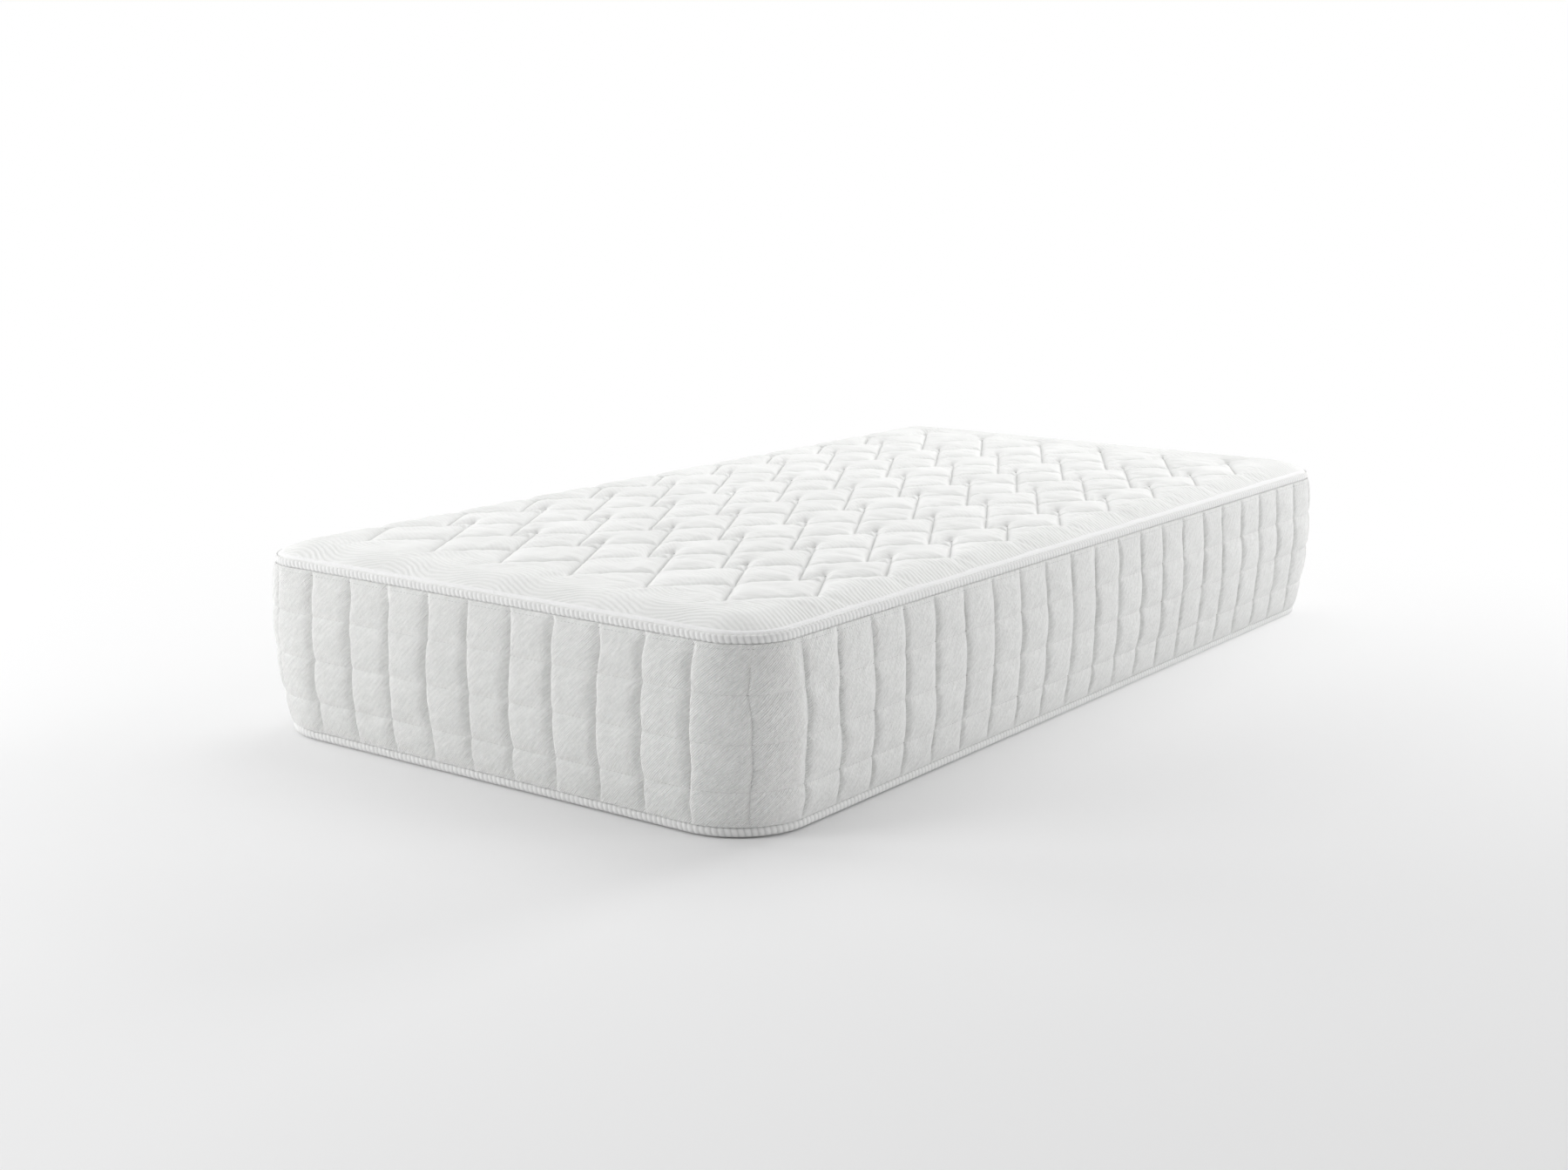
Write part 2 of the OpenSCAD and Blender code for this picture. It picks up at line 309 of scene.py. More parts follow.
def snapToLines(points, lines, halfX, halfY, snap):
    # stitch lines take the nearest vertex of every row of the grid
    across = np.unique(np.round(points[:, 0], decimals=5))
    along = np.unique(np.round(points[:, 1], decimals=5))
    stepX, stepY = across[1] - across[0], along[1] - along[0]
    lookup = {}
    for i, (x, y, _) in enumerate(points):
        lookup[round((x + halfX) / stepX), round((y + halfY) / stepY)] = i
    sewn = set()
    for start, end in lines:
        low, high = (start, end) if start[1] < end[1] else (end, start)
        for row, y in enumerate(along):
            if low[1] - snap < y < high[1] + snap:
                share = min(1, max(0, (y - low[1]) / (high[1] - low[1])))
                x = low[0] + share * (high[0] - low[0])
                i = lookup[round((x + halfX) / stepX), row]
                points[i, 0] = x
                sewn.add(i)
    return sewn


def makeQuiltedTop(settings, lines):
    inset = settings["inset"]
    halfX, halfY = topSeam["halfX"] - inset, topSeam["halfY"] - inset
    radius = topSeam["radius"] - inset
    piece = flatGrid("quiltedTop", halfX, halfY, settings["cell"])
    points = readPoints(piece)
    sewn = snapToLines(points, lines, halfX, halfY, settings["snap"])
    writePoints(piece, points)

    # edges along the stitch lines, and a skirt, kept a metre down to tell it apart
    openMesh("DESELECT")
    closeMesh()
    for i in sewn:
        piece.data.vertices[i].select = True
    bpy.ops.object.mode_set(mode="EDIT")
    bpy.ops.mesh.vert_connect()
    bpy.ops.mesh.select_all(action="SELECT")
    bpy.ops.mesh.region_to_loop()
    bpy.ops.mesh.extrude_region_move(TRANSFORM_OT_translate={"value": (0, 0, -1)})
    closeMesh()

    # the crown, and the grooves sewn into it
    points = readPoints(piece)
    skirt = points[:, 2] < -0.5
    roundCorners(points, halfX, halfY, radius)
    depth = edgeDepth(points, halfX, halfY, radius)
    lineGap = lineDistance(points, lines)
    seamZ = topTapeBox[0].z
    edgeZ = seamZ + settings["edgeUp"]
    crestZ = panelBox[1].z + settings["crest"]
    rise = 1 - (1 - np.clip(depth / settings["crownRun"], 0, 1)) ** settings["crownPower"]
    points[:, 2] = edgeZ + (crestZ - edgeZ) * rise
    for grooveDepth, reach in settings["grooves"]:
        points[:, 2] -= grooveDepth * np.exp(-lineGap / reach)
    points[skirt, 2] = seamZ + settings["skirtUp"]
    writePoints(piece, points)

    onLine = lineGap < settings["onLine"]
    cloth = settings["cloth"]
    border = np.clip((lineGap - settings["borderStart"]) / settings["borderRun"], 0, 1)
    firmer = settings["borderHold"] - cloth["softHold"]
    pins = np.round(cloth["softHold"] + firmer * border, 2)
    pins[(depth < settings["edgeHold"]) | skirt | onLine] = 1
    settleCloth(piece, pins, cloth)

    # every stitch line and the hem stay creases when the cloth is subdivided
    ends = edgeEnds(piece)
    sharp = np.where(onLine[ends].all(axis=1), settings["lineCrease"], 0.0)
    sharp[skirt[ends].all(axis=1)] = 1
    creaseEdges(piece, sharp)
    applyModifier(piece, "SUBSURF", levels=1, render_levels=1, quality=2)
    # a flat back closes it
    openMesh()
    bpy.ops.mesh.region_to_loop()
    bpy.ops.mesh.edge_face_add()
    bpy.ops.mesh.select_all(action="SELECT")
    bpy.ops.mesh.normals_make_consistent(inside=False)
    closeMesh()
    smoothShade(piece)
    print("quilted top:", len(piece.data.polygons), "faces")
    return piece


band = {
    "pleats": 68,
    # cloth columns of one pleat: its start is steep, its end slopes gently into the next fold
    "columns": (0, 0.008, 0.022, 0.048, 0.10, 0.26, 0.52, 0.74, 0.86, 0.925, 0.965, 0.99),
    "courses": 4,
    "courseRows": 9,
    "crowding": 0.75,         # of a course's rows of faces towards its stitch rows
    "swell": 0.012,
    "puff": 0.0026,
    "puffPower": 0.5,
    "fold": 0.0040,
    "endFold": 0.0036,        # added on the two short faces, which are gathered more
    "deepest": 0.0078,
    "startSharpness": 20,
    "endSharpness": 5.5,
    "cornerFold": 0.4,
    "cornerReach": 0.025,
    "rowDent": 0.0013,
    "rowDentReach": 0.0030,
    "rowHold": 0.001,
    "pinch": 0.00072,         # of a fold where a stitch row crosses it
    "pinchReach": 0.007,
    "pinchShare": 0.1,
    "wander": 0.0016,
    "wanderRise": 3,          # how soon the folds start to wander, away from the seams
    "unevenness": 0.14,
    "backing": 0.0060,        # how far the band's inner face lies behind the pleats
    "edgeBacking": 0.003,     # and behind the seams
    "seed": 7,
    "cloth": {
        "frames": 12, "quality": 4, "mass": 0.3, "pressure": 2.0, "slack": 0.008,
        "tension": 12, "compression": 12, "shear": 4, "bending": 0.5, "damping": 5,
        "hold": 1.0, "softHold": 0.04, "cap": 0.0018,
    },
}
bandLow = bottomTapeBox[1].z
bandHigh = topTapeBox[0].z


def bandRise(z):
    return (z - bandLow) / (bandHigh - bandLow)


def bandSteady(z):
    # 0 at both seams and 1 halfway up
    return max(0, math.sin(math.pi * bandRise(z)))


def bandReach(z, swell):
    rise = bandRise(z)
    return 4 * swell * rise * (1 - rise)


def bandPlace(quarter, share, z, reach):
    rise = bandRise(z)
    place = rise * outlinePlace(topSeam, quarter, share)
    place = place + (1 - rise) * outlinePlace(bottomSeam, quarter, share)
    across = place[0] + reach * math.cos(place[2])
    along = place[1] + reach * math.sin(place[2])
    turn = quarter * math.pi / 2
    return np.array([
        across * math.cos(turn) - along * math.sin(turn),
        across * math.sin(turn) + along * math.cos(turn),
        z,
    ])


def rowHeights(settings):
    rows = [bandHigh * (row + 1) / settings["courses"] for row in range(settings["courses"] - 1)]
    edges = [bandLow, *rows, bandHigh]
    return rows, edges


def crowd(share, amount):
    return share - amount * math.sin(2 * math.pi * share) / (2 * math.pi)


def bandLevels(settings):
    # height, course and share of the course of every row of points
    edges = rowHeights(settings)[1]
    perCourse = settings["courseRows"]
    parts = [crowd(k / perCourse, settings["crowding"]) for k in range(perCourse)]
    levels = [
        (edges[c] + (edges[c + 1] - edges[c]) * part, c, part)
        for c in range(settings["courses"]) for part in parts
    ]
    return levels + [(bandHigh, settings["courses"] - 1, 1.0)]


def drawPleats(settings):
    # how each pleat differs from the others, course by course
    rng = np.random.default_rng(settings["seed"])
    pleats, courses = settings["pleats"], settings["courses"]
    uneven, wander = settings["unevenness"], settings["wander"]
    draws = {
        "puff": 1 + uneven * rng.standard_normal((pleats, courses)),
        "fold": 1 + uneven * rng.standard_normal((pleats, courses + 1)),
        "sideways": wander * rng.standard_normal((pleats, courses + 1)),
        "bow": wander * rng.standard_normal((pleats, courses)),
    }
    # folds right at the corners are shallow
    for corner in quarterStarts:
        middle = round(corner / seamLength * pleats) % pleats
        if abs(middle * seamLength / pleats - corner) < settings["cornerReach"]:
            draws["fold"][middle] *= settings["cornerFold"]
    return draws


def between(values, pleat, course, part):
    return values[pleat, course] * (1 - part) + values[pleat, course + 1] * part


def foldShift(draws, pleat, course, part):
    bow = draws["bow"][pleat, course] * math.sin(math.pi * part)
    return between(draws["sideways"], pleat, course, part) + bow


def skinPoint(settings, draws, rows, pleat, share, level):
    # one point of the pleated skin, and how firmly it is held
    z, course, part = level
    following = (pleat + 1) % settings["pleats"]
    steady = bandSteady(z)
    shift = foldShift(draws, pleat, course, part) * (1 - share)
    shift += foldShift(draws, following, course, part) * share
    shift *= min(1, settings["wanderRise"] * steady)
    pitch = seamLength / settings["pleats"]
    quarter, place = seamShare((pleat + share) * pitch + shift)
    facing = outlinePlace(topSeam, quarter, place)[2] + quarter * math.pi / 2

    atStart = share <= 0.5
    fromFold = share if atStart else 1 - share
    sharpness = settings["startSharpness"] if atStart else settings["endSharpness"]
    full = 1 - (1 - 2 * fromFold) ** sharpness
    depth = settings["fold"] + settings["endFold"] * math.sin(facing) ** 2
    depth *= math.sqrt(steady)
    depth *= between(draws["fold"], pleat if atStart else following, course, part)
    toRow = min(abs(z - row) for row in rows)
    pinch = settings["pinch"] * math.exp(-(toRow / settings["pinchReach"]) ** 2)
    pinch *= math.exp(-(fromFold / settings["pinchShare"]) ** 2)
    depth = min(depth * (1 - full) + pinch, settings["deepest"] * math.sqrt(steady))

    puff = settings["puff"] * draws["puff"][pleat, course]
    puff *= math.sin(math.pi * part) ** settings["puffPower"]
    dent = settings["rowDent"] * math.exp(-(toRow / settings["rowDentReach"]) ** 2)
    reach = bandReach(z, settings["swell"]) - depth + (puff - dent) * full
    held = share == 0 or toRow < settings["rowHold"] or z in (bandLow, bandHigh)
    return bandPlace(quarter, place, z, reach), 1.0 if held else settings["cloth"]["softHold"]


def bandFaces(columnCount, levelCount, ringCount):
    # the skin's columns come first, then the inner face's
    outer = columnCount * levelCount
    faces = []
    for column in range(columnCount):
        after = (column + 1) % columnCount
        a, b = column * levelCount, after * levelCount
        for k in range(levelCount - 1):
            faces.append((a + k, b + k, b + k + 1, a + k + 1))
        c, d = outer + column * ringCount, outer + after * ringCount
        for k in range(ringCount - 1):
            faces.append((c + k, c + k + 1, d + k + 1, d + k))
        faces.append((a, c, d, b))
        faces.append((a + levelCount - 1, b + levelCount - 1,
                      d + ringCount - 1, c + ringCount - 1))
    return faces


def mapCloth(piece, roundBand):
    # cloth map in metres: round the band, and up it; cut at the corner opposite the first
    uvMap = piece.data.uv_layers.new(name="clothMap")
    loops = np.zeros(len(piece.data.loops), np.int32)
    piece.data.loops.foreach_get("vertex_index", loops)
    u = (roundBand[loops] + seamLength / 2) % seamLength
    faceOf = np.repeat(np.arange(len(piece.data.polygons)), 4)
    widest = np.maximum.reduceat(u, np.arange(0, len(u), 4))
    u = np.where(widest[faceOf] - u > seamLength / 2, u + seamLength, u)
    v = readPoints(piece)[loops, 2]
    uvMap.data.foreach_set("uv", np.stack([u, v], axis=1).astype(np.float32).ravel())


def makeBand(settings):
    draws = drawPleats(settings)
    rows, edges = rowHeights(settings)
    levels = bandLevels(settings)
    pitch = seamLength / settings["pleats"]
    columns = [(pleat, share) for pleat in range(settings["pleats"])
               for share in settings["columns"]]
    points, pins = [], []
    for pleat, share in columns:
        for level in levels:
            point, pin = skinPoint(settings, draws, rows, pleat, share, level)
            points.append(point)
            pins.append(pin)
    # inner face, with rings at the course edges only
    for pleat, share in columns:
        quarter, place = seamShare((pleat + share) * pitch)
        for z in edges:
            behind = settings["backing"] * math.sqrt(bandSteady(z)) + settings["edgeBacking"]
            points.append(bandPlace(quarter, place, z, bandReach(z, settings["swell"]) - behind))
            pins.append(1.0)
    sizes = [len(levels), len(edges)]
    piece = pieceFromPoints("pleatedBand", points, bandFaces(len(columns), *sizes))

    along = np.array([(pleat + share) * pitch for pleat, share in columns])
    mapCloth(piece, np.concatenate([np.repeat(along, size) for size in sizes]))
    settleCloth(piece, np.array(pins), settings["cloth"])

    # every fold stays a crease when the cloth is subdivided
    isFold = np.repeat([share == 0 for _, share in columns], len(levels))
    isFold = np.concatenate([isFold, np.zeros(len(points) - len(isFold), bool)])
    creaseEdges(piece, isFold[edgeEnds(piece)].all(axis=1))
    applyModifier(piece, "SUBSURF", levels=1, render_levels=1, quality=2)
    smoothShade(piece)
    print("pleated band:", len(piece.data.polygons), "faces")
    return piece


tape = {
    "ribPitch": 0.0087,
    "ribHeight": 0.0013,
    "ribSteps": (0.2, 0.3, 0.3, 0.2),
    "crestPower": 0.7,
    "scallop": 0.0007,        # of the tape's long edges
    "slant": 0.0016,
    "thickness": (0.0060, 0.0110),    # upper and lower tape
    "overlap": 0.0006,        # over the band's edge
    "cutDown": 0.0026,        # of the upper tape's top edge
    "lift": 0.0024,           # of the lower tape over the floor
    "squareness": 2.5,        # 2 is a plain oval
    "sides": 14,
    "cornerSteps": 24,
    "weld": (0.0002, 0.0004), # between ribs, and where the tape's ends meet
}


def makeTapePath(name, seam, inset, cornerSteps):
    # the seam's outline as a closed curve on the floor
    deselectAll()
    bpy.ops.mesh.primitive_plane_add(size=2)
    path = newest(name)
    path.scale = (seam["halfX"] - inset, seam["halfY"] - inset, 1)
    applyPlace(path)
    openMesh()
    bpy.ops.mesh.bevel(offset_type="OFFSET", offset=seam["radius"] - inset,
                       segments=cornerSteps, affect="VERTICES", clamp_overlap=False)
    bpy.ops.mesh.select_all(action="SELECT")
    bpy.ops.mesh.delete(type="ONLY_FACE")
    closeMesh()
    bpy.ops.object.convert(target="CURVE")
    path = bpy.context.object
    path.data.dimensions = "2D"
    corners = [Vector(p.co[:3]) for p in path.data.splines[0].points]
    length = sum((a - b).length for a, b in zip(corners, corners[1:] + corners[:1]))
    return path, length


def makeTape(name, seam, low, high, thickness, settings):
    height = high - low
    path, length = makeTapePath(name + "Path", seam, thickness / 2, settings["cornerSteps"])
    ribs = round(length / settings["ribPitch"])
    pitch = length / ribs
    # one rib: a flattened ring drawn out along the tape, fuller in its middle
    deselectAll()
    bpy.ops.mesh.primitive_circle_add(vertices=settings["sides"], radius=1,
                                      rotation=(0, math.pi / 2, 0))
    piece = newest(name)
    applyPlace(piece)
    openMesh()
    for step in settings["ribSteps"]:
        bpy.ops.mesh.extrude_region_move(TRANSFORM_OT_translate={"value": (pitch * step, 0, 0)})
    closeMesh()
    # squarer than an oval, thin between the ribs, which lean a little along the tape
    points = readPoints(piece)
    crest = np.clip(np.sin(math.pi * points[:, 0] / pitch), 0, 1) ** settings["crestPower"]
    squareness = settings["squareness"]
    fit = (np.abs(points[:, 1:]) ** squareness).sum(axis=1) ** (-1 / squareness)
    points[:, 1] *= fit * (thickness / 2 - settings["ribHeight"] * (1 - crest))
    points[:, 2] *= fit * (height / 2 - settings["scallop"] * (1 - crest))
    points[:, 0] += settings["slant"] * points[:, 2] / (height / 2)
    writePoints(piece, points)
    # painted shade: the crest share is stored so the tape's colour is darker in the gaps between
    # ribs
    shade = piece.data.attributes.new("ribCrestShadeMask", "FLOAT", "POINT")
    shade.data.foreach_set("value", crest.astype(np.float32))
    betweenRibs, atEnds = settings["weld"]
    applyModifier(piece, "ARRAY", count=ribs, use_relative_offset=False,
                  use_constant_offset=True, constant_offset_displace=(pitch, 0, 0),
                  use_merge_vertices=True, merge_threshold=betweenRibs)
    piece.location = (0, 0, (low + high) / 2)
    applyPlace(piece)
    applyModifier(piece, "CURVE", object=path, deform_axis="POS_X")
    bpy.data.objects.remove(path)
    openMesh()
    bpy.ops.mesh.remove_doubles(threshold=atEnds)
    bpy.ops.mesh.normals_make_consistent(inside=False)
    closeMesh()
    smoothShade(piece)
    print(name + ":", ribs, "ribs,", len(piece.data.polygons), "faces")
    return piece


underPanel = {
    "cell": 0.020,
    "inset": 0.009,
    "floorGap": 0.0004,
    "dimple": 0.0008,
    "dimpleReach": 0.02,
    "ripple": 0.0002,
    "rippleReach": 0.08,
    "edgeRise": 0.0060,
    "edgeRun": 0.018,
    "thickness": 0.0016,
    "seed": 3,
    # dark grey cloth: partly the bottom's own grey, partly painted shade for the gap under the
    # lower tape
    "dark": (0.30, 0.303, 0.306), "light": (0.38, 0.383, 0.386),
    "weavePitch": 0.0024, "weaveDepth": 0.0003,
}


def makeUnderPanel(settings):
    inset = settings["inset"]
    halfX, halfY = bottomSeam["halfX"] - inset, bottomSeam["halfY"] - inset
    radius = bottomSeam["radius"] - inset
    piece = flatGrid("underPanel", halfX, halfY, settings["cell"])
    points = readPoints(piece)
    roundCorners(points, halfX, halfY, radius)
    depth = edgeDepth(points, halfX, halfY, radius)
    rng = np.random.default_rng(settings["seed"])
    ripple = np.abs(rng.standard_normal(len(points)) * settings["ripple"])
    points[:, 2] = settings["floorGap"] + ripple * np.exp(-depth / settings["rippleReach"])
    points[:, 2] += settings["dimple"] * np.exp(-depth / settings["dimpleReach"])
    points[:, 2] += settings["edgeRise"] * np.clip(1 - depth / settings["edgeRun"], 0, 1) ** 2
    writePoints(piece, points)
    applyModifier(piece, "SOLIDIFY", thickness=settings["thickness"], offset=1)
    applyModifier(piece, "SUBSURF", levels=1, render_levels=1)
    smoothShade(piece)
    print("under panel:", len(piece.data.polygons), "faces")
    return piece


thread = {
    "pitch": 0.0065,
    "share": 0.72,            # of the pitch that a stitch covers
    "radius": 0.00050,
    "sides": 5,
    "body": 0.6,              # share of a stitch that isn't tapered
    "sink": 0.00035,
    "skipDepth": 0.0045,      # no stitch where the fold goes deeper
    "underTape": 0.0065,      # the tape's own stitch row, under its lower edge
    "searchOut": 0.05,        # the cloth is looked for between these reaches of the band
    "searchIn": -0.03,
    "searchUp": 0.1,          # and under this height over the top
    # grey thread: partly its own colour, partly painted shade of the stitch dimples
    "dark": (0.42, 0.42, 0.41), "light": (0.56, 0.56, 0.55),
    "twistScale": 2500, "twistDepth": 0.0001,
}


def stitchShape(settings):
    # one stitch along X from 0 to 1, tapered at both ends
    deselectAll()
    bpy.ops.mesh.primitive_cylinder_add(
        vertices=settings["sides"], radius=settings["radius"], depth=settings["body"],
        end_fill_type="NOTHING", rotation=(0, math.pi / 2, 0), location=(0.5, 0, 0))
    shape = newest("stitch")
    applyPlace(shape)
    points = readPoints(shape)
    faces = [tuple(p.vertices) for p in shape.data.polygons]
    rings = [[i for i, p in enumerate(points) if (p[0] > 0.5) == high] for high in (False, True)]
    bpy.data.objects.remove(shape)
    tip = len(points)
    down = -settings["radius"]
    points = np.vstack([points, [[0, 0, down], [1, 0, down]]])
    for ring in rings:
        ring.sort(key=lambda v: math.atan2(points[v][2], points[v][1]))
        faces.extend((tip, a, b) for a, b in zip(ring, ring[1:] + ring[:1]))
        tip += 1
    return points, faces


def sewStitches(name, stitches, settings):
    # stitches: start, end and outward direction of each
    shape, shapeFaces = stitchShape(settings)
    points, faces = [], []
    for start, end, out in stitches:
        along = end - start
        side = np.cross(out, along / np.linalg.norm(along))
        base = len(points)
        for p in shape:
            points.append(start + along * p[0] + side * p[1] + out * p[2])
        faces.extend(tuple(base + i for i in face) for face in shapeFaces)
    piece = pieceFromPoints(name, points, faces)
    pick(piece)
    openMesh()
    bpy.ops.mesh.normals_make_consistent(inside=False)
    closeMesh()
    smoothShade(piece)
    print(name + ":", len(stitches), "stitches")
    return piece


def surfaceOf(piece):
    mesh = piece.data
    return BVHTree.FromPolygons([v.co for v in mesh.vertices],
                                [tuple(p.vertices) for p in mesh.polygons])


def bandStitches(bandPiece, heights, settings):
    surface = surfaceOf(bandPiece)
    count = round(seamLength / settings["pitch"])
    reach = settings["searchOut"] - settings["searchIn"]
    found = []
    for z in heights:
        for k in range(count):
            ends = []
            for part in (0, settings["share"]):
                quarter, place = seamShare((k + part) * seamLength / count)
                inner = bandPlace(quarter, place, z, settings["searchIn"])
                outer = bandPlace(quarter, place, z, settings["searchOut"])
                way = Vector(inner - outer).normalized()
                hit = surface.ray_cast(Vector(outer), way, reach)[0]
                flat = bandPlace(quarter, place, z, bandReach(z, band["swell"]))
                if hit is None or (hit - Vector(flat)).length > settings["skipDepth"]:
                    break
                ends.append((np.array(hit), np.array(-way)))
            if len(ends) == 2:
                out = ends[0][1]
                sink = -out * settings["sink"]
                found.append((ends[0][0] + sink, ends[1][0] + sink, out))
    return found


def quiltStitches(topPiece, lines, settings):
    surface = surfaceOf(topPiece)
    up = Vector((0, 0, 1))
    above = panelBox[1].z + settings["searchUp"]
    sink = np.array([0, 0, -settings["sink"]])
    found = []
    for start, end in lines:
        length = np.hypot(*(end - start))
        count = max(1, round(length / settings["pitch"]))
        for k in range(count):
            ends = []
            for part in (0.5 - settings["share"] / 2, 0.5 + settings["share"] / 2):
                x, y = start + (end - start) * (k + part) / count
                hit = surface.ray_cast(Vector((x, y, above)), -up, above)[0]
                ends.append(np.array(hit) + sink)
            found.append((*ends, np.array(up)))
    return found


def newMaterial(name, colour, roughness, sheen=0.0):
    material = bpy.data.materials.new(name)
    material.use_nodes = True
    shader = material.node_tree.nodes["Principled BSDF"]
    shader.inputs["Base Color"].default_value = (*colour, 1)
    shader.inputs["Roughness"].default_value = roughness
    shader.inputs["Sheen Weight"].default_value = sheen
    shader.inputs["Specular IOR Level"].default_value = 0.25
    return material, material.node_tree, shader


def coordinates(tree, kind="Object"):
    return tree.nodes.new("ShaderNodeTexCoord").outputs[kind]


def xAndY(tree, vector):
    apart = tree.nodes.new("ShaderNodeSeparateXYZ")
    tree.links.new(vector, apart.inputs[0])
    return apart.outputs["X"], apart.outputs["Y"]


def calculate(tree, operation, *values):
    node = tree.nodes.new("ShaderNodeMath")
    node.operation = operation
    for socket, value in zip(node.inputs, values):
        if isinstance(value, (int, float)):
            socket.default_value = value
        else:
            tree.links.new(value, socket)
    return node.outputs[0]


def total(tree, start, *parts):
    # start plus each value times its weight
    for value, weight in parts:
        start = calculate(tree, "MULTIPLY_ADD", value, weight, start)
    return start


def noiseOf(tree, place, scale, detail=2.0):
    node = tree.nodes.new("ShaderNodeTexNoise")
    node.inputs["Scale"].default_value = scale
    node.inputs["Detail"].default_value = detail
    tree.links.new(place, node.inputs["Vector"])
    return node.outputs["Fac"]


def waves(tree, value, length):
    return calculate(tree, "SINE", calculate(tree, "MULTIPLY", value, 2 * math.pi / length))


def fade(tree, value, start, end, low=0.0, high=1.0, smooth=False):
    node = tree.nodes.new("ShaderNodeMapRange")
    if smooth:
        node.interpolation_type = "SMOOTHSTEP"
    for key, number in (("From Min", start), ("From Max", end), ("To Min", low), ("To Max", high)):
        node.inputs[key].default_value = number
    tree.links.new(value, node.inputs["Value"])
    return node.outputs[0]


def blendColours(tree, factor, dark, light):
    ramp = tree.nodes.new("ShaderNodeValToRGB")
    ramp.color_ramp.elements[0].color = (*dark, 1)
    ramp.color_ramp.elements[1].color = (*light, 1)
    tree.links.new(factor, ramp.inputs["Fac"])
    return ramp.outputs["Color"]


def tint(tree, shader, factor, dark, light):
    tree.links.new(blendColours(tree, factor, dark, light), shader.inputs["Base Color"])


def bumpFrom(tree, shader, height, distance):
    bump = tree.nodes.new("ShaderNodeBump")
    bump.inputs["Distance"].default_value = distance
    tree.links.new(height, bump.inputs["Height"])
    tree.links.new(bump.outputs["Normal"], shader.inputs["Normal"])


knit = {
    "dark": (0.75, 0.753, 0.74), "light": (0.91, 0.913, 0.903),
    "ribPitch": 0.0088, "wave": 0.019, "waveLength": 0.20, "wavePhase": 1.89,
    "warpScale": 22, "warp": 0.012,           # slow unevenness of the ribs
    "shade": 0.8,                             # painted shade: the ribs darken the knit's colour more than they lighten it
    "inBorder": 0.95, "onPillows": 0.30, "borderFade": 0.02,      # share of the ribs' depth and painted shade
    "yarnScale": 700, "patchScale": 9,
    "depth": 0.0008, "ribDepth": 0.40, "yarnDepth": 0.45, "ribShadeTone": 0.25, "yarnTone": 0.35,
}


def topKnit(settings):
    # ribs that run across the panel in waves, with yarn noise; the ribs also paint shade into the
    # colour, most of all in the border
    material, tree, shader = newMaterial("topKnit", settings["light"], roughness=0.92, sheen=0.1)
    place = coordinates(tree)
    x, y = xAndY(tree, place)
    swing = calculate(tree, "MULTIPLY_ADD", x, 2 * math.pi / settings["waveLength"],
                      settings["wavePhase"])
    along = total(tree, y, (calculate(tree, "SINE", swing), -settings["wave"]),
                  (noiseOf(tree, place, settings["warpScale"]), settings["warp"]))
    rib = waves(tree, along, settings["ribPitch"])
    # deeper, and with more painted shade, outside the quilting
    overX = calculate(tree, "SUBTRACT", calculate(tree, "ABSOLUTE", x),
                      topSeam["halfX"] - topPanel["sideMargin"])
    overY = calculate(tree, "SUBTRACT", calculate(tree, "ABSOLUTE", y),
                      topSeam["halfY"] - topPanel["endMargin"])
    border = fade(tree, calculate(tree, "MAXIMUM", overX, overY), -settings["borderFade"],
                  settings["borderFade"], settings["onPillows"], settings["inBorder"])
    rib = calculate(tree, "MULTIPLY", calculate(tree, "SUBTRACT", rib, settings["shade"]), border)
    yarn = noiseOf(tree, place, settings["yarnScale"])
    height = total(tree, 0.5, (rib, settings["ribDepth"]), (yarn, settings["yarnDepth"]))
    bumpFrom(tree, shader, height, settings["depth"])
    # painted shade: the ribs darken the colour along their grooves
    tone = total(tree, noiseOf(tree, place, settings["patchScale"], detail=3),
                 (rib, settings["ribShadeTone"]), (yarn, settings["yarnTone"]))
    tint(tree, shader, tone, settings["dark"], settings["light"])
    return material


bandFabric = {
    "dark": (0.655, 0.658, 0.647), "light": (0.91, 0.913, 0.902),
    "twillPitch": 0.0036, "lean": 45, "streak": (0.022, 0.0038),
    "warpScale": 45, "warp": 0.003, "grain": 230, "yarnScale": 1000, "patchScale": 6,
    "depth": 0.0013, "twillDepth": 0.22, "streakDepth": 0.9, "yarnDepth": 0.4,
    "patchTone": 0.3, "twillTone": 0.05, "grainTone": 0.6,
}


